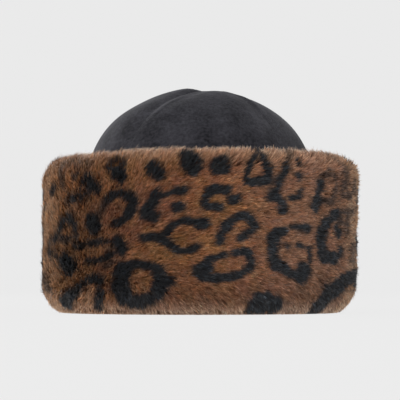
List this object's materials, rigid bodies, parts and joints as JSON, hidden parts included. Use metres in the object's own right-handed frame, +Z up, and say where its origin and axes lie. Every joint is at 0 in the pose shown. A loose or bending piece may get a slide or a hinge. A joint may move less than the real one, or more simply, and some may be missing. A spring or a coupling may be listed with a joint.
{
  "type": "faux suede hat with a faux fur cuff",
  "caption": "Round winter hat: a faux suede crown sewn from gores, and a deep leopard print faux fur cuff turned up all round it.",
  "frame": {"origin": "on the surface that the hat stands on, under the middle of its outline", "axes": "+Z up through the crown, -Y towards the front of the hat, +X towards the wearer's left"},
  "size_m": [0.2415, 0.2616, 0.1703],
  "materials": {
    "faux_suede": "matt brushed nap, charcoal",
    "faux_fur": "deep straight pile, brown with black rosettes"
  },
  "bodies": {
    "root": {"crown_gore_front": "faux_suede", "crown_gore_right": "faux_suede", "crown_gore_back": "faux_suede", "crown_gore_left": "faux_suede", "fur_cuff": "faux_fur"}
  },
  "joints": []
}
